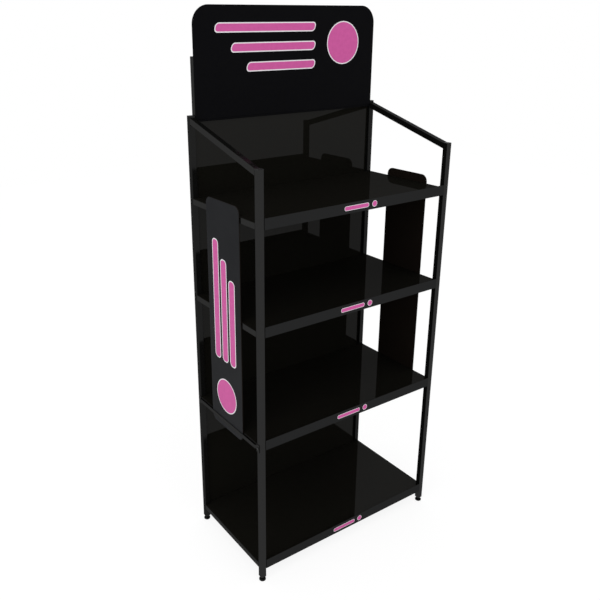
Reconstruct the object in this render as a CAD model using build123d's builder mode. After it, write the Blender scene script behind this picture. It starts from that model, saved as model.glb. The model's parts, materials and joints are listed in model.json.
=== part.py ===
"""Floor display rack: a welded square-tube frame with four lipped sheet shelves, a back panel,
a header board on two uprights and a sign board on each side. Lengths are in millimetres.

Origin: centre of the footprint, on the floor. X is the width, -Y the front, +Z up.
"""

import os

from build123d import *

# Square tube that every frame member is cut from
tube_size = 20.0
tube_wall = 1.2
tube_corner = 1.5

# Outside of the posts
frame_width = 800.0
frame_depth = 414.0
front_post_top = 1472.0
rear_post_top = 1585.0
post_bottom = 17.5

# Sheet metal shelves, with their deck heights from the floor
shelf_sheet = 1.2
shelf_bend = 1.5
lip_rise = 14.0
lip_thickness = 4.0
rear_flange = 16.0
deck_heights = {"base": 72.5, "lower": 559.0, "middle": 965.0, "upper": 1312.5}
shelf_post_gap = 0.5
shelf_panel_gap = 1.0

# Sloped rail on each side, measured where its top face meets the posts
slope_front_height = 1472.0
slope_rear_height = 1578.0

# Back panel, a shallow tray between the rear posts
panel_sheet = 1.2
panel_depth = 10.0
panel_bend = 2.5
panel_post_gap = 0.3

# Header board and the two uprights that carry it
header_sheet = 2.0
header_post_gap = 0.3
header_height = 350.0
header_overlap = 13.0
header_corner = 60.0
header_foot_corner = 3.0
header_access_hole = 12.0
header_upright_share = 0.56
header_stud_shares = (0.16, 0.82)

# Studs welded to the back of the header board, and their nuts
stud_diameter = 5.0
stud_hole = 5.5
stud_tip = 1.0
nut_across_flats = 8.0
nut_thickness = 4.0

# Side sign boards, held to the side rails by pads of mounting tape
board_sheet = 3.0
board_width = 198.0
board_bottom = 522.0
board_top = 1342.0
board_corner = 25.0
board_shift = -6.0
tape_thickness = 1.0
tape_length = 170.0
tape_height = 16.0
tape_levels = ("lower", "middle", "upper")

# Strap across the foot of each side board: a narrow bar with a taller tab on each post, the bar
# set below the top of the tabs
strap_sheet = 1.5
strap_bend = 1.5
strap_height = 13.0
strap_bar_drop = 5.0
strap_end_inset = 6.0
strap_joggle = 6.0
strap_board_gap = 0.3
tab_height = 28.0

# Self-tapping screws, in the back panel and the straps
screw_diameter = 3.9
screw_length = 9.0
screw_head_diameter = 7.0
screw_head_height = 2.4
screw_head_round = 1.2
screw_point = 0.9
screw_socket = 2.5
screw_socket_depth = 1.3
screw_hole = 4.3
pilot_hole = 4.0
panel_screw_edge = 0.4
panel_screw_count = 6
panel_screw_end = 68.0

# Plastic caps on open tube ends
cap_plate = 2.0
cap_chamfer = 0.6
cap_plug_length = 12.0
cap_plug_gap = 0.1
cap_plug_wall = 1.5

# Levelling feet under the posts
insert_plate = 1.5
insert_length = 22.0
foot_stem_diameter = 8.0
foot_bore = 8.3
foot_stem_top = 36.0
foot_pad_diameter = 24.0
foot_pad_top_diameter = 17.0
foot_pad_height = 8.0
foot_pad_rim = 4.5
foot_pad_edge = 1.0
foot_nut_across_flats = 13.0
foot_nut_thickness = 4.0

# Places that follow from the sizes above
tube_bore = tube_size - 2 * tube_wall
bore_corner = tube_corner - tube_wall
half_width = frame_width / 2
half_depth = frame_depth / 2
post_x = half_width - tube_size / 2
post_y = half_depth - tube_size / 2
inner_x = half_width - tube_size
inner_y = half_depth - tube_size
panel_front = half_depth - panel_depth
shelf_front = -half_depth - shelf_sheet
shelf_rear = panel_front - shelf_panel_gap
rear_rail_y = shelf_rear - shelf_sheet - tube_size / 2
panel_screw_y = half_depth - panel_screw_edge - screw_head_diameter / 2
strap_top = deck_heights["lower"]
strap_screw_z = strap_top - tab_height / 2
strap_screw_y = (half_depth - strap_end_inset + inner_y) / 2
board_back = half_width + tape_thickness
board_face = board_back + board_sheet
panel_width = 2 * (inner_x - panel_post_gap)
panel_bottom = deck_heights["base"] - shelf_sheet - tube_size
panel_top = rear_post_top - tube_size - panel_post_gap
panel_screw_pitch = (panel_top - panel_bottom - 2 * panel_screw_end) / (panel_screw_count - 1)
panel_screw_heights = [
    panel_bottom + panel_screw_end + index * panel_screw_pitch for index in range(panel_screw_count)
]
header_width = 2 * (inner_x - header_post_gap)
header_bottom = rear_post_top - header_overlap
header_upright_length = header_upright_share * header_height - header_overlap
header_upright_top = rear_post_top + header_upright_length
header_upright_x = inner_x - tube_size / 2
stud_places = [
    (sign * header_upright_x, rear_post_top + share * header_upright_length)
    for sign in (-1, 1)
    for share in header_stud_shares
]
sides = {"left": -1, "right": 1}

os.makedirs("parts", exist_ok=True)


def save(piece, name):
    """Labels a finished piece and writes it to its own file."""
    piece.label = name
    export_step(piece, f"parts/{name}.step")


def rail_top(level):
    """Height of the top of a shelf's rails: the deck rests on them."""
    return deck_heights[level] - shelf_sheet


def rail_centre(level):
    """Height of the centre line of a shelf's rails."""
    return rail_top(level) - tube_size / 2


def tube_section():
    """Sketches the tube's wall, centred, in the sketch that is open."""
    RectangleRounded(tube_size, tube_size, tube_corner)
    RectangleRounded(tube_bore, tube_bore, bore_corner, mode=Mode.SUBTRACT)


# Posts, with pilot holes for the strap screws and, at the rear, for the back panel's screws
def make_post(x_side, y_side, top):
    """Makes one upright post, up to the underside of its cap."""
    with BuildPart() as post:
        with BuildSketch(Plane((x_side * post_x, y_side * post_y, post_bottom))):
            tube_section()
        extrude(amount=top - cap_plate - post_bottom)
        with BuildSketch(Plane.YZ.offset(x_side * half_width)):
            with Locations((y_side * strap_screw_y, strap_screw_z)):
                Circle(pilot_hole / 2)
        extrude(amount=-x_side * 2 * tube_wall, mode=Mode.SUBTRACT)
        if y_side > 0:
            with BuildSketch(Plane.YZ.offset(x_side * inner_x)):
                with Locations(*[(panel_screw_y, height) for height in panel_screw_heights]):
                    Circle(pilot_hole / 2)
            extrude(amount=x_side * 2 * tube_wall, mode=Mode.SUBTRACT)
    return post.part


for side, sign in sides.items():
    save(make_post(sign, -1, front_post_top), f"front_{side}_post")
    save(make_post(sign, 1, rear_post_top), f"rear_{side}_post")


# Side rails, one under each side of each shelf
def make_side_rail(sign, level):
    """Makes the rail from the front post to the rear post on one side."""
    with BuildPart() as rail:
        with BuildSketch(Plane.XZ.offset(inner_y)):
            with Locations((sign * post_x, rail_centre(level))):
                tube_section()
        extrude(amount=-2 * inner_y)
    return rail.part


for side, sign in sides.items():
    for level in deck_heights:
        save(make_side_rail(sign, level), f"{side}_{level}_rail")


# Cross rails between the side frames: front and rear of every shelf, and one under the header
def make_cross_rail(y, z):
    """Makes a rail that fills the width between the posts' inner faces."""
    with BuildPart() as rail:
        with BuildSketch(Plane.YZ.offset(-inner_x)):
            with Locations((y, z)):
                tube_section()
        extrude(amount=2 * inner_x)
    return rail.part


for level in deck_heights:
    save(make_cross_rail(-post_y, rail_centre(level)), f"front_{level}_rail")
    save(make_cross_rail(rear_rail_y, rail_centre(level)), f"rear_{level}_rail")
save(make_cross_rail(post_y, rear_post_top - tube_size / 2), "rear_header_rail")


# Sloped rail that ties the tall rear post to the short front post
def make_sloped_rail(sign):
    """Makes the sloped tube, its ends cut upright to lie on the posts."""
    rise = slope_rear_height - slope_front_height
    run = 2 * inner_y
    length = (rise**2 + run**2) ** 0.5
    drop = tube_size / 2 * length / run
    middle = (sign * post_x, 0, (slope_front_height + slope_rear_height) / 2 - drop)
    with BuildPart() as rail:
        with BuildSketch(Plane(middle, x_dir=(1, 0, 0), z_dir=(0, run, rise))):
            tube_section()
        extrude(amount=length, both=True)
        with BuildSketch(Plane.YZ.offset(sign * post_x)):
            with Locations((0, middle[2])):
                Rectangle(run, 2 * rise + 4 * tube_size)
        extrude(amount=tube_size, both=True, mode=Mode.INTERSECT)
    return rail.part


for side, sign in sides.items():
    save(make_sloped_rail(sign), f"{side}_top_rail")


# Shelf: one folded sheet with a hemmed front lip that also covers the front rail
def make_shelf(level):
    """Makes one shelf, its deck notched at the corners to pass between the posts."""
    deck = deck_heights[level]
    lip_top = deck + lip_rise
    lip_inside = shelf_front + lip_thickness
    with BuildPart() as shelf:
        with BuildSketch(Plane.YZ.offset(-inner_x + shelf_post_gap)):
            with BuildLine():
                FilletPolyline(
                    (shelf_front, rail_top(level) - tube_size),
                    (shelf_front, lip_top),
                    (lip_inside, lip_top),
                    (lip_inside, deck),
                    (shelf_rear, deck),
                    (shelf_rear, deck - rear_flange),
                    radius=shelf_bend,
                )
                offset(amount=shelf_sheet, side=Side.RIGHT)
            make_face()
        extrude(amount=2 * (inner_x - shelf_post_gap))
        with BuildSketch(Plane.XY.offset(deck - shelf_sheet)):
            Rectangle(frame_width, 2 * (inner_y - shelf_post_gap))
        extrude(amount=shelf_sheet)
    return shelf.part


for level in deck_heights:
    save(make_shelf(level), f"{level}_shelf")


# Back panel: a tray open to the rear, screwed through its side returns into the posts
with BuildPart() as back_panel:
    with BuildSketch(Plane.XZ.offset(-half_depth)):
        with Locations((0, (panel_bottom + panel_top) / 2)):
            Rectangle(panel_width, panel_top - panel_bottom)
    extrude(amount=panel_depth)
    fillet(back_panel.faces().sort_by(Axis.Y)[0].edges(), radius=panel_bend)
    rear_opening = back_panel.faces().sort_by(Axis.Y)[-1]
    offset(amount=-panel_sheet, openings=rear_opening)
    for sign in sides.values():
        with BuildSketch(Plane.YZ.offset(sign * (inner_x + 1))):
            with Locations(*[(panel_screw_y, height) for height in panel_screw_heights]):
                Circle(screw_hole / 2)
        extrude(amount=-sign * (panel_sheet + panel_post_gap + 2), mode=Mode.SUBTRACT)
save(back_panel.part, "back_panel")


# Uprights that stand on the header rail, inside the line of the rear posts
def make_header_upright(sign):
    """Makes one upright, with stud holes in front and larger holes behind to reach the nuts."""
    x = sign * header_upright_x
    with BuildPart() as upright:
        with BuildSketch(Plane((x, post_y, rear_post_top))):
            tube_section()
        extrude(amount=header_upright_top - cap_plate - rear_post_top)
        with BuildSketch(Plane.XZ.offset(-inner_y)):
            with Locations(*[place for place in stud_places if place[0] == x]):
                Circle(stud_hole / 2)
        extrude(amount=-2 * tube_wall, mode=Mode.SUBTRACT)
        with BuildSketch(Plane.XZ.offset(-half_depth)):
            with Locations(*[place for place in stud_places if place[0] == x]):
                Circle(header_access_hole / 2)
        extrude(amount=2 * tube_wall, mode=Mode.SUBTRACT)
    return upright.part


for side, sign in sides.items():
    save(make_header_upright(sign), f"{side}_header_upright")

# Header board: a plain sheet with large upper corners, and four studs on its back
with BuildPart() as header_board:
    with BuildSketch(Plane.XZ.offset(-inner_y)) as outline:
        with Locations((0, header_bottom)):
            Rectangle(header_width, header_height, align=(Align.CENTER, Align.MIN))
        fillet(outline.vertices().group_by(Axis.Y)[-1], radius=header_corner)
        fillet(outline.vertices().group_by(Axis.Y)[0], radius=header_foot_corner)
    extrude(amount=header_sheet)
    with BuildSketch(Plane.XZ.offset(-inner_y)):
        with Locations(*stud_places):
            Circle(stud_diameter / 2)
    extrude(amount=-(tube_wall + nut_thickness + stud_tip))
save(header_board.part, "header_board")

# Nuts on the header board's studs, inside the uprights
with BuildPart() as header_nuts:
    with BuildSketch(Plane.XZ.offset(-inner_y - tube_wall)):
        with Locations(*stud_places):
            RegularPolygon(nut_across_flats / 2, 6, major_radius=False)
            Circle(stud_diameter / 2, mode=Mode.SUBTRACT)
    extrude(amount=-nut_thickness)
save(header_nuts.part, "header_nuts")


# Side sign board: a plain rounded sheet
def make_side_board(sign):
    """Makes the board on one side, standing off the rails by the tape's thickness."""
    with BuildPart() as board:
        with BuildSketch(Plane.YZ.offset(sign * board_back)):
            with Locations((board_shift, (board_bottom + board_top) / 2)):
                RectangleRounded(board_width, board_top - board_bottom, board_corner)
        extrude(amount=sign * board_sheet)
    return board.part


# Tape pads between the side boards and the rails
def make_tape(sign):
    """Makes the pads of one side, one on each rail that passes behind the board."""
    with BuildPart() as tape:
        with BuildSketch(Plane.YZ.offset(sign * half_width)):
            with Locations(*[(board_shift, rail_centre(level)) for level in tape_levels]):
                Rectangle(tape_length, tape_height)
        extrude(amount=sign * tape_thickness)
    return tape.part


for side, sign in sides.items():
    save(make_side_board(sign), f"{side}_side_board")
    save(make_tape(sign), f"{side}_board_tape")


# Strap: a joggled strip behind which the foot of the side board is tucked
def make_strap(sign):
    """Makes the strap of one side from a bent strip, cut away above and below its bar."""
    end_y = half_depth - strap_end_inset
    bend_y = inner_y - 1
    stand_off = board_face + strap_board_gap
    bar_top = strap_top - strap_bar_drop
    with BuildPart() as strap:
        with BuildSketch(Plane.XY.offset(strap_top - tab_height)):
            with BuildLine():
                FilletPolyline(
                    (sign * half_width, -end_y),
                    (sign * half_width, -bend_y),
                    (sign * stand_off, -bend_y + strap_joggle),
                    (sign * stand_off, bend_y - strap_joggle),
                    (sign * half_width, bend_y),
                    (sign * half_width, end_y),
                    radius=strap_bend,
                )
                offset(amount=strap_sheet, side=Side.RIGHT if sign > 0 else Side.LEFT)
            make_face()
        extrude(amount=tab_height)
        with BuildSketch(Plane.YZ):
            with Locations((0, bar_top)):
                Rectangle(2 * bend_y, tab_height, align=(Align.CENTER, Align.MIN))
            with Locations((0, bar_top - strap_height)):
                Rectangle(2 * bend_y, tab_height, align=(Align.CENTER, Align.MAX))
        extrude(amount=sign * (half_width + tube_size), mode=Mode.SUBTRACT)
        with BuildSketch(Plane.YZ.offset(sign * (half_width - 1))):
            with Locations((-strap_screw_y, strap_screw_z), (strap_screw_y, strap_screw_z)):
                Circle(screw_hole / 2)
        extrude(amount=sign * (strap_sheet + 2), mode=Mode.SUBTRACT)
    return strap.part


for side, sign in sides.items():
    save(make_strap(sign), f"{side}_board_strap")

# One self-tapping screw, its head's seat at the origin and its shank along -Z
with BuildPart() as screw:
    with BuildSketch(Plane.XY):
        Circle(screw_head_diameter / 2)
    extrude(amount=screw_head_height)
    fillet(screw.faces().sort_by(Axis.Z)[-1].edges(), radius=screw_head_round)
    with BuildSketch(Plane.XY):
        Circle(screw_diameter / 2)
    extrude(amount=-screw_length)
    chamfer(screw.faces().sort_by(Axis.Z)[0].edges(), length=screw_point)
    with BuildSketch(Plane.XY.offset(screw_head_height)):
        RegularPolygon(screw_socket / 2, 6, major_radius=False)
    extrude(amount=-screw_socket_depth, mode=Mode.SUBTRACT)

# Screws in the panel's side returns, driven outwards into the posts
with BuildPart() as panel_screws:
    for sign in sides.values():
        seat_x = sign * (inner_x - panel_post_gap - panel_sheet)
        for height in panel_screw_heights:
            with Locations(Location((seat_x, panel_screw_y, height), (0, -sign * 90, 0))):
                add(screw.part)
save(panel_screws.part, "panel_screws")

# Screws in the strap tabs, driven inwards into the posts
with BuildPart() as strap_screws:
    for sign in sides.values():
        for y in (-strap_screw_y, strap_screw_y):
            seat = (sign * (half_width + strap_sheet), y, strap_screw_z)
            with Locations(Location(seat, (0, sign * 90, 0))):
                add(screw.part)
save(strap_screws.part, "strap_screws")


# Cap that closes the open top of a post or an upright
def make_cap(x, y, top):
    """Makes a cap whose plate is flush with the tube and whose hollow plug fits its bore."""
    plug = tube_bore - 2 * cap_plug_gap
    with BuildPart() as cap:
        with BuildSketch(Plane((x, y, top - cap_plate))):
            RectangleRounded(tube_size, tube_size, tube_corner)
        extrude(amount=cap_plate)
        chamfer(cap.faces().sort_by(Axis.Z)[-1].edges(), length=cap_chamfer)
        with BuildSketch(Plane((x, y, top - cap_plate))):
            RectangleRounded(plug, plug, bore_corner)
            Rectangle(plug - 2 * cap_plug_wall, plug - 2 * cap_plug_wall, mode=Mode.SUBTRACT)
        extrude(amount=-cap_plug_length)
    return cap.part


for side, sign in sides.items():
    save(make_cap(sign * post_x, -post_y, front_post_top), f"front_{side}_cap")
    save(make_cap(sign * post_x, post_y, rear_post_top), f"rear_{side}_cap")
    save(make_cap(sign * header_upright_x, post_y, header_upright_top), f"{side}_upright_cap")


# Threaded insert pressed into the foot of a post
def make_foot_insert(x, y):
    """Makes an insert whose plate closes the tube and whose bore takes the foot's stem."""
    plug = tube_bore - 2 * cap_plug_gap
    with BuildPart() as insert:
        with BuildSketch(Plane((x, y, post_bottom - insert_plate))):
            RectangleRounded(tube_size, tube_size, tube_corner)
        extrude(amount=insert_plate)
        with BuildSketch(Plane((x, y, post_bottom))):
            RectangleRounded(plug, plug, bore_corner)
        extrude(amount=insert_length)
        with BuildSketch(Plane((x, y, post_bottom - insert_plate))):
            Circle(foot_bore / 2)
        extrude(amount=insert_plate + insert_length, mode=Mode.SUBTRACT)
    return insert.part


# Levelling foot: a round pad on a stem
def make_foot(x, y):
    """Makes one foot, its pad on the floor."""
    pad = foot_pad_diameter / 2
    shoulder = foot_pad_top_diameter / 2
    stem = foot_stem_diameter / 2
    with BuildPart() as foot:
        with BuildSketch(Plane((x, y, 0), x_dir=(1, 0, 0), z_dir=(0, -1, 0))):
            with BuildLine():
                Polyline(
                    (0, 0),
                    (pad - foot_pad_edge, 0),
                    (pad, foot_pad_edge),
                    (pad, foot_pad_rim),
                    (shoulder, foot_pad_height),
                    (stem, foot_pad_height),
                    (stem, foot_stem_top - 1),
                    (stem - 1, foot_stem_top),
                    (0, foot_stem_top),
                    close=True,
                )
            make_face()
        revolve(axis=Axis((x, y, 0), (0, 0, 1)))
    return foot.part


for side, sign in sides.items():
    for end, end_sign in (("front", -1), ("rear", 1)):
        place = (sign * post_x, end_sign * post_y)
        save(make_foot_insert(*place), f"{end}_{side}_foot_insert")
        save(make_foot(*place), f"{end}_{side}_foot")

# Lock nuts that hold the feet at their height, tight under the inserts
with BuildPart() as foot_nuts:
    with BuildSketch(Plane.XY.offset(post_bottom - insert_plate)):
        with GridLocations(2 * post_x, 2 * post_y, 2, 2):
            RegularPolygon(foot_nut_across_flats / 2, 6, major_radius=False)
            Circle(foot_stem_diameter / 2, mode=Mode.SUBTRACT)
    extrude(amount=-foot_nut_thickness)
save(foot_nuts.part, "foot_lock_nuts")
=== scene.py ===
"""Looks of the floor display rack: paint, printed patches, floor, light and camera. Lengths are in metres."""

import bpy
import json
import math
from mathutils import Matrix, Vector


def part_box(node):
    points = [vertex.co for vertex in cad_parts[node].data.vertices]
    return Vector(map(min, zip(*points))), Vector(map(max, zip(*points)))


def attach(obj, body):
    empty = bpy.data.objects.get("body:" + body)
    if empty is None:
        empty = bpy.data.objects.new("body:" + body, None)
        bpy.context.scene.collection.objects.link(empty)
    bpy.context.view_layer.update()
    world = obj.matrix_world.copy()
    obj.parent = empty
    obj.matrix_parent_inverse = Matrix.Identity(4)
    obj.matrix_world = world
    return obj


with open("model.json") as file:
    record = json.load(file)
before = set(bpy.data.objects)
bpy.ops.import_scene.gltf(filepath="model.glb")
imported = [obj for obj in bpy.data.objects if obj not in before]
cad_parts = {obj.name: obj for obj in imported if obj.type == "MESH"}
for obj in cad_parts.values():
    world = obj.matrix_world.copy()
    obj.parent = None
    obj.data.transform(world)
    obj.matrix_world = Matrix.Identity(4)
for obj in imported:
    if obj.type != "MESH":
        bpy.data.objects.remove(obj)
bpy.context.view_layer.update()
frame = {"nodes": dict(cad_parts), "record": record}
scene = bpy.context.scene
nodes = frame["nodes"]


# Small helpers for the nodes of materials and of the world
def new_material(name):
    """A new node material and its shader."""
    material = bpy.data.materials.new(name)
    material.use_nodes = True
    return material, material.node_tree.nodes["Principled BSDF"]


def add_node(owner, kind, **values):
    """A node of that kind. The values set its inputs by name, with an underscore for each space."""
    node = owner.node_tree.nodes.new(kind)
    for key, value in values.items():
        node.inputs[key.replace("_", " ")].default_value = value
    return node


def add_math(owner, operation):
    """A node that works out one value from two."""
    node = add_node(owner, "ShaderNodeMath")
    node.operation = operation
    return node


def link(owner, source, target):
    """Joins two sockets of a material or world."""
    owner.node_tree.links.new(source, target)


def spread(material, source, low, high, start=0.3, end=0.7):
    """Maps a texture's value to a range and returns the output socket."""
    node = add_node(material, "ShaderNodeMapRange", From_Min=start, From_Max=end, To_Min=low, To_Max=high)
    link(material, source, node.inputs["Value"])
    return node.outputs["Result"]


def mottle(material, source, dark, light, start=0.3, end=0.7):
    """Blends two colours by a texture's value and returns the colour socket."""
    ramp = add_node(material, "ShaderNodeValToRGB")
    first, last = ramp.color_ramp.elements
    first.position = start
    first.color = (*dark, 1)
    last.position = end
    last.color = (*light, 1)
    link(material, source, ramp.inputs["Fac"])
    return ramp.outputs["Color"]


def paint(name, dark, light, rough, rough_more, peel, peel_depth, gloss=0.15, mirror=0.0):
    """Sprayed, coated or moulded surface: a slightly uneven colour and gloss over fine orange peel.

    Lacquer also has a mirror share: how much of what is around it shows in it, the same from every angle.
    """
    material, shader = new_material(name)
    coordinates = add_node(material, "ShaderNodeTexCoord")
    broad = add_node(material, "ShaderNodeTexNoise", Scale=7.0, Detail=4.0, Roughness=0.6)
    fine = add_node(material, "ShaderNodeTexNoise", Scale=peel, Detail=2.0, Roughness=0.5)
    grain = add_node(material, "ShaderNodeTexNoise", Scale=60.0, Detail=5.0, Roughness=0.7)
    for texture in (broad, fine, grain):
        link(material, coordinates.outputs["Object"], texture.inputs["Vector"])
    roughness = spread(material, broad.outputs["Fac"], rough, rough + rough_more)
    bump = add_node(material, "ShaderNodeBump", Strength=0.5, Distance=peel_depth)
    link(material, fine.outputs["Fac"], bump.inputs["Height"])
    link(material, mottle(material, grain.outputs["Fac"], dark, light), shader.inputs["Base Color"])
    link(material, roughness, shader.inputs["Roughness"])
    link(material, bump.outputs["Normal"], shader.inputs["Normal"])
    shader.inputs["Specular IOR Level"].default_value = gloss
    if mirror:
        coat = add_node(material, "ShaderNodeBsdfAnisotropic", Color=(1, 1, 1, 1))
        link(material, roughness, coat.inputs["Roughness"])
        link(material, bump.outputs["Normal"], coat.inputs["Normal"])
        blend = add_node(material, "ShaderNodeMixShader")
        blend.inputs[0].default_value = mirror
        link(material, shader.outputs[0], blend.inputs[1])
        link(material, coat.outputs[0], blend.inputs[2])
        link(material, blend.outputs[0], material.node_tree.nodes["Material Output"].inputs["Surface"])
    return material


def recolour(material, axis, operation, limit, colour):
    """Gives the part of the surface whose place along one axis passes the limit another colour."""
    shader = material.node_tree.nodes["Principled BSDF"]
    coordinates = add_node(material, "ShaderNodeTexCoord")
    parts = add_node(material, "ShaderNodeSeparateXYZ")
    zone = add_math(material, operation)
    zone.inputs[1].default_value = limit
    other = add_node(material, "ShaderNodeMixRGB", Color2=(*colour, 1))
    link(material, coordinates.outputs["Object"], parts.inputs[0])
    link(material, parts.outputs[axis], zone.inputs[0])
    link(material, zone.outputs[0], other.inputs["Fac"])
    link(material, shader.inputs["Base Color"].links[0].from_socket, other.inputs["Color1"])
    link(material, other.outputs["Color"], shader.inputs["Base Color"])


# Lacquered tube, strip and sheet. The rear posts get a copy of the frame lacquer that mirrors less: painted
# shade, which makes the rear posts darker than the rest of the frame
tube_dark = (0.0036, 0.0036, 0.0034)
tube_light = (0.0046, 0.0046, 0.0043)
frame_mirror = 0.0225
rear_post_shaded_mirror = 0.0115
frame_paint = paint(
    "frame_paint", tube_dark, tube_light,
    rough=0.06, rough_more=0.05, peel=900.0, peel_depth=0.00001, gloss=0.0, mirror=frame_mirror,
)
# Painted shade: the frame lacquer again, with a smaller mirror share, for the rear posts
rear_frame_shaded_paint = paint(
    "rear_frame_shaded_paint", tube_dark, tube_light,
    rough=0.06, rough_more=0.05, peel=900.0, peel_depth=0.00001, gloss=0.0, mirror=rear_post_shaded_mirror,
)
shelf_paint = paint(
    "shelf_paint", (0.0060, 0.0056, 0.0045), (0.0070, 0.0066, 0.0053),
    rough=0.01, rough_more=0.02, peel=500.0, peel_depth=0.000004, gloss=0.0, mirror=0.0086,
)
panel_paint = paint(
    "panel_paint", (0.0050, 0.0047, 0.0037), (0.0058, 0.0055, 0.0043),
    rough=0.01, rough_more=0.01, peel=400.0, peel_depth=0.000002, gloss=0.0, mirror=0.0094,
)
strap_paint = paint(
    "strap_paint", tube_dark, tube_light,
    rough=0.08, rough_more=0.06, peel=900.0, peel_depth=0.00001, gloss=0.0, mirror=frame_mirror,
)

# Matt printed sheet, moulded plastic, foam, steel and the prints' two inks
header_paint = paint(
    "header_paint", (0.0026, 0.0026, 0.0032), (0.0032, 0.0032, 0.0038),
    rough=0.6, rough_more=0.1, peel=700.0, peel_depth=0.00003, gloss=0.02,
)
board_face = paint(
    "side_board", (0.0066, 0.0070, 0.0083), (0.0080, 0.0085, 0.0101),
    rough=0.5, rough_more=0.1, peel=700.0, peel_depth=0.00003, gloss=0.06,
)
plastic = paint(
    "black_plastic", (0.006, 0.006, 0.006), (0.010, 0.010, 0.010),
    rough=0.42, rough_more=0.15, peel=1600.0, peel_depth=0.00006,
)
foot_plastic = paint(
    "foot", (0.002, 0.002, 0.002), (0.004, 0.004, 0.004),
    rough=0.4, rough_more=0.15, peel=1400.0, peel_depth=0.00004, gloss=0.05,
)
tape_foam = paint(
    "foam_tape", (0.01, 0.01, 0.01), (0.02, 0.02, 0.02),
    rough=0.85, rough_more=0.1, peel=2600.0, peel_depth=0.0002,
)
steel = paint(
    "fasteners", (0.03, 0.03, 0.032), (0.06, 0.06, 0.062),
    rough=0.28, rough_more=0.15, peel=1500.0, peel_depth=0.00005,
)
steel.node_tree.nodes["Principled BSDF"].inputs["Metallic"].default_value = 1.0
print_pink = paint(
    "print_pink", (0.52, 0.086, 0.29), (0.58, 0.100, 0.325),
    rough=0.4, rough_more=0.1, peel=800.0, peel_depth=0.00002, gloss=0.1,
)
print_white = paint(
    "print_white", (0.72, 0.70, 0.72), (0.80, 0.78, 0.80),
    rough=0.4, rough_more=0.1, peel=800.0, peel_depth=0.00002, gloss=0.1,
)

# The shelves' front faces are painted a little paler than their decks: painted light, for the brighter look
# the upright fronts have than the decks in the same paint
lip_front_painted_light_limit = -0.2075
lip_front_painted_light = (0.0102, 0.0105, 0.0107)
recolour(shelf_paint, "Y", "LESS_THAN", lip_front_painted_light_limit, lip_front_painted_light)

# The side boards' inner faces are coloured darker and browner than their printed outer faces. Each board has
# a material of its own, because the two inner faces lie on opposite sides of their limits
board_back_limit = 0.4035
board_back = (0.0085, 0.0060, 0.0045)
right_board_face = board_face.copy()
recolour(board_face, "X", "GREATER_THAN", -board_back_limit, board_back)
recolour(right_board_face, "X", "LESS_THAN", board_back_limit, board_back)

# Each carried-over node takes its slot's material, apart from the ones that have their own
slot_materials = {
    "frame_paint": frame_paint,
    "shelf_paint": shelf_paint,
    "panel_paint": panel_paint,
    "header_paint": header_paint,
    "side_board": board_face,
    "strap_paint": strap_paint,
    "black_plastic": plastic,
    "foot": foot_plastic,
    "fasteners": steel,
    "foam_tape": tape_foam,
}
own_materials = {
    "right_side_board": right_board_face,
    # The rear posts take the copy of the lacquer with painted shade
    "rear_left_post": rear_frame_shaded_paint,
    "rear_right_post": rear_frame_shaded_paint,
}
for entry in frame["record"]["subparts"]:
    node = nodes[entry["node"]]
    material = own_materials.get(entry["node"], slot_materials[entry["material_slot"]])
    for material_slot in node.material_slots:
        material_slot.material = material

# Printed patches: rounded bars and discs of thin vinyl, each over a slightly larger pale one
film = 0.00015
film_lift = 0.00002
print_edge = 0.0035
lip_print_edge = 0.0015
X_AXIS = Vector((1, 0, 0))
Y_AXIS = Vector((0, 1, 0))
Z_AXIS = Vector((0, 0, 1))


def disc(x, y, size):
    """A disc, as a bar whose rounded corners meet."""
    return (x, y, size, size, size / 2, 0.0)


def bar_outline(width, height, radius, steps=8):
    """Points round a bar with rounded corners, centred on the origin."""
    points = []
    for turn, (sx, sy) in enumerate(((1, 1), (-1, 1), (-1, -1), (1, -1))):
        for step in range(steps + 1):
            angle = math.pi / 2 * (turn + step / steps)
            x = sx * (width / 2 - radius) + radius * math.cos(angle)
            y = sy * (height / 2 - radius) + radius * math.sin(angle)
            points.append((x, y))
    return points


def add_print(name, bars, place, across, upward, lift, grow, material):
    """A thin film cut to the bars' outlines. Each bar is (x, y, width, height, radius, lean)."""
    mesh = bpy.data.meshes.new(name)
    outward = across.cross(upward)
    points = []
    faces = []
    for x, y, width, height, radius, lean in bars:
        outline = bar_outline(width + 2 * grow, height + 2 * grow, radius + grow)
        count = len(outline)
        for depth in (lift, lift + film):
            for u, v in outline:
                shift = lean * v
                points.append(place + (x + u + shift) * across + (y + v) * upward + depth * outward)
        start = len(points) - 2 * count
        faces.append([start + count + index for index in range(count)])
        faces.append([start + index for index in reversed(range(count))])
        for index in range(count):
            after = (index + 1) % count
            faces.append([start + index, start + after, start + count + after, start + count + index])
    mesh.from_pydata(points, [], faces)
    mesh.update()
    mesh.materials.append(material)
    piece = bpy.data.objects.new(name, mesh)
    scene.collection.objects.link(piece)
    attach(piece, "root")


def add_patch(name, bars, place, across, upward, border):
    """The pink film over a slightly larger pale one."""
    add_print(name + "_edge", bars, place, across, upward, film_lift, border, print_white)
    add_print(name + "_face", bars, place, across, upward, film_lift + film, 0.0, print_pink)


# Header: staggered leaning bars beside a large disc
header_low, header_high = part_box("header_board")
header_face = Vector((0, header_low[1], header_low[2]))
header_bar = 0.024
header_bar_corner = 0.010
header_lean = 0.25
header_bars = [
    disc(0.235, 0.225, 0.140),
    (-0.095, 0.281, 0.400, header_bar, header_bar_corner, header_lean),
    (-0.065, 0.219, 0.340, header_bar, header_bar_corner, header_lean),
    (-0.035, 0.157, 0.280, header_bar, header_bar_corner, header_lean),
]
add_patch("header_print", header_bars, header_face, X_AXIS, Z_AXIS, print_edge)

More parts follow.
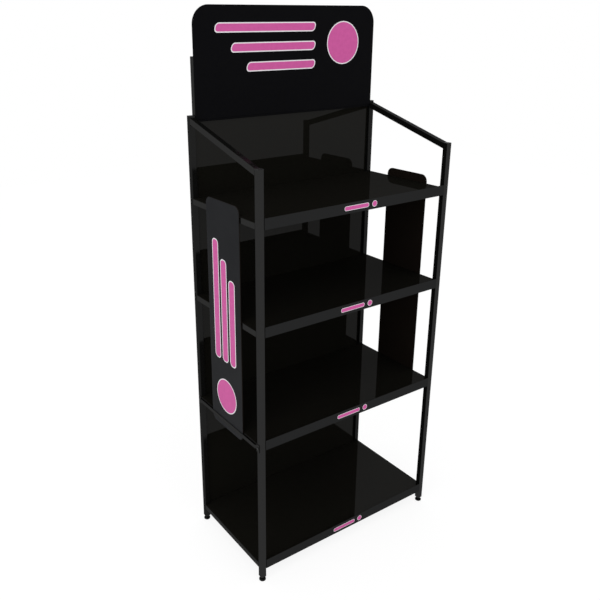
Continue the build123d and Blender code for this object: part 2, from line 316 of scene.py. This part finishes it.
# A matt black strip on the header rail's front, from its underside to the foot of the header board
trim_end_gap = 0.0003
trim_corner = 0.001
rail_low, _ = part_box("rear_header_rail")
trim_height = header_low[2] - rail_low[2] - 2 * trim_end_gap
trim_place = Vector((0, rail_low[1], (header_low[2] + rail_low[2]) / 2))
trim_bars = [(0, 0, header_high[0] - header_low[0], trim_height, trim_corner, 0.0)]
add_print("header_trim", trim_bars, trim_place, X_AXIS, Z_AXIS, film_lift, 0.0, header_paint)

# Side boards: the same motif turned upright, the disc at the foot
board_bar = 0.030
board_bar_corner = 0.012
board_bars = [
    disc(0.0, 0.130, 0.120),
    (-0.048, 0.475, board_bar, 0.420, board_bar_corner, 0.0),
    (0.0, 0.445, board_bar, 0.360, board_bar_corner, 0.0),
    (0.048, 0.415, board_bar, 0.300, board_bar_corner, 0.0),
]
for side, sign in (("left", -1), ("right", 1)):
    low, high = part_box(side + "_side_board")
    face = Vector((low[0] if sign < 0 else high[0], (low[1] + high[1]) / 2, low[2]))
    add_patch(side + "_board_print", board_bars, face, sign * Y_AXIS, Z_AXIS, print_edge)

# Shelf lips: a short bar and a small disc, a little left of the middle
lip_print_x = -0.004
lip_bars = [
    (-0.018, 0.0, 0.100, 0.012, 0.005, 0.0),
    disc(0.058, 0.0, 0.018),
]
for level in ("base", "lower", "middle", "upper"):
    low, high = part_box(level + "_shelf")
    lip_place = Vector((lip_print_x, low[1], (low[2] + high[2]) / 2))
    add_patch(level + "_lip_print", lip_bars, lip_place, X_AXIS, Z_AXIS, lip_print_edge)

# Plain pale floor: close to white to the camera and in reflections, with the object's soft shadow kept
floor_size = 14.0
floor_grey = 0.86
floor_glow = 1.08
floor_glow_share = 0.8
bpy.ops.mesh.primitive_plane_add(size=floor_size, location=(0, 0, 0))
floor = bpy.context.object
floor.name = "floor"
floor_paint, floor_shader = new_material("floor")
floor_shader.inputs["Base Color"].default_value = (floor_grey, floor_grey, floor_grey, 1)
floor_shader.inputs["Roughness"].default_value = 0.9
floor_shader.inputs["Specular IOR Level"].default_value = 0.0
floor_rays = add_node(floor_paint, "ShaderNodeLightPath")
seen = add_math(floor_paint, "MAXIMUM")
share = add_math(floor_paint, "MULTIPLY")
share.inputs[1].default_value = floor_glow_share
glow = add_node(floor_paint, "ShaderNodeEmission", Color=(1, 1, 1, 1), Strength=floor_glow)
floor_blend = add_node(floor_paint, "ShaderNodeMixShader")
link(floor_paint, floor_rays.outputs["Is Camera Ray"], seen.inputs[0])
link(floor_paint, floor_rays.outputs["Is Glossy Ray"], seen.inputs[1])
link(floor_paint, seen.outputs[0], share.inputs[0])
link(floor_paint, share.outputs[0], floor_blend.inputs[0])
link(floor_paint, floor_shader.outputs[0], floor_blend.inputs[1])
link(floor_paint, glow.outputs[0], floor_blend.inputs[2])
link(floor_paint, floor_blend.outputs[0], floor_paint.node_tree.nodes["Material Output"].inputs["Surface"])
floor.data.materials.append(floor_paint)

# World: white to the camera, to reflections and through glass; soft grey for light
world_light = 0.8
world_white = 1.0
world = bpy.data.worlds.new("studio")
scene.world = world
world.use_nodes = True
world.node_tree.nodes.clear()
output = add_node(world, "ShaderNodeOutputWorld")
mix = add_node(world, "ShaderNodeMixShader")
soft = add_node(world, "ShaderNodeBackground", Color=(1, 1, 1, 1), Strength=world_light)
white = add_node(world, "ShaderNodeBackground", Color=(1, 1, 1, 1), Strength=world_white)
world_rays = add_node(world, "ShaderNodeLightPath")
seen_or_mirrored = add_math(world, "MAXIMUM")
any_view = add_math(world, "MAXIMUM")
link(world, world_rays.outputs["Is Camera Ray"], seen_or_mirrored.inputs[0])
link(world, world_rays.outputs["Is Glossy Ray"], seen_or_mirrored.inputs[1])
link(world, seen_or_mirrored.outputs[0], any_view.inputs[0])
link(world, world_rays.outputs["Is Transmission Ray"], any_view.inputs[1])
link(world, any_view.outputs[0], mix.inputs[0])
link(world, soft.outputs[0], mix.inputs[1])
link(world, white.outputs[0], mix.inputs[2])
link(world, mix.outputs[0], output.inputs[0])

# Soft studio lights, both facing the middle of the rack
light_target = Vector((0, 0, 0.9))
light_size = 2.4


def area_light(name, place, power):
    """A square area light that faces the middle of the rack."""
    data = bpy.data.lights.new(name, "AREA")
    data.size = light_size
    data.energy = power
    lamp = bpy.data.objects.new(name, data)
    scene.collection.objects.link(lamp)
    lamp.location = place
    lamp.rotation_euler = (light_target - Vector(place)).to_track_quat("-Z", "Y").to_euler()


area_light("key_left", place=(-3.2, -1.2, 2.6), power=36)
area_light("front_fill", place=(0.4, -3.6, 2.2), power=24)

# Camera near the photograph's place. The angles are in radians, the focal length and centre in pixels
# of a square picture, and the sensor's width in millimetres
picture = 600
camera_place = Vector((-1.4705, -1.8051, 1.8479))
camera_yaw = 0.5794
camera_pitch = 0.3405
camera_roll = -0.0126
camera_focal = 685.73
camera_centre = (252.0, 271.8)
sensor_width = 36.0
far_limit = 50
forward = Vector((
    math.sin(camera_yaw) * math.cos(camera_pitch),
    math.cos(camera_yaw) * math.cos(camera_pitch),
    -math.sin(camera_pitch),
))
level_right = Vector((math.cos(camera_yaw), -math.sin(camera_yaw), 0))
level_up = level_right.cross(forward)
right = math.cos(camera_roll) * level_right + math.sin(camera_roll) * level_up
up = -math.sin(camera_roll) * level_right + math.cos(camera_roll) * level_up
camera_data = bpy.data.cameras.new("camera")
camera_data.sensor_width = sensor_width
camera_data.lens = camera_focal / picture * sensor_width
camera_data.shift_x = (picture / 2 - camera_centre[0]) / picture
camera_data.shift_y = (camera_centre[1] - picture / 2) / picture
camera_data.clip_end = far_limit
camera = bpy.data.objects.new("camera", camera_data)
scene.collection.objects.link(camera)
camera.matrix_world = Matrix((
    (right.x, up.x, -forward.x, camera_place.x),
    (right.y, up.y, -forward.y, camera_place.y),
    (right.z, up.z, -forward.z, camera_place.z),
    (0, 0, 0, 1),
))
scene.camera = camera
scene.view_settings.view_transform = "Standard"
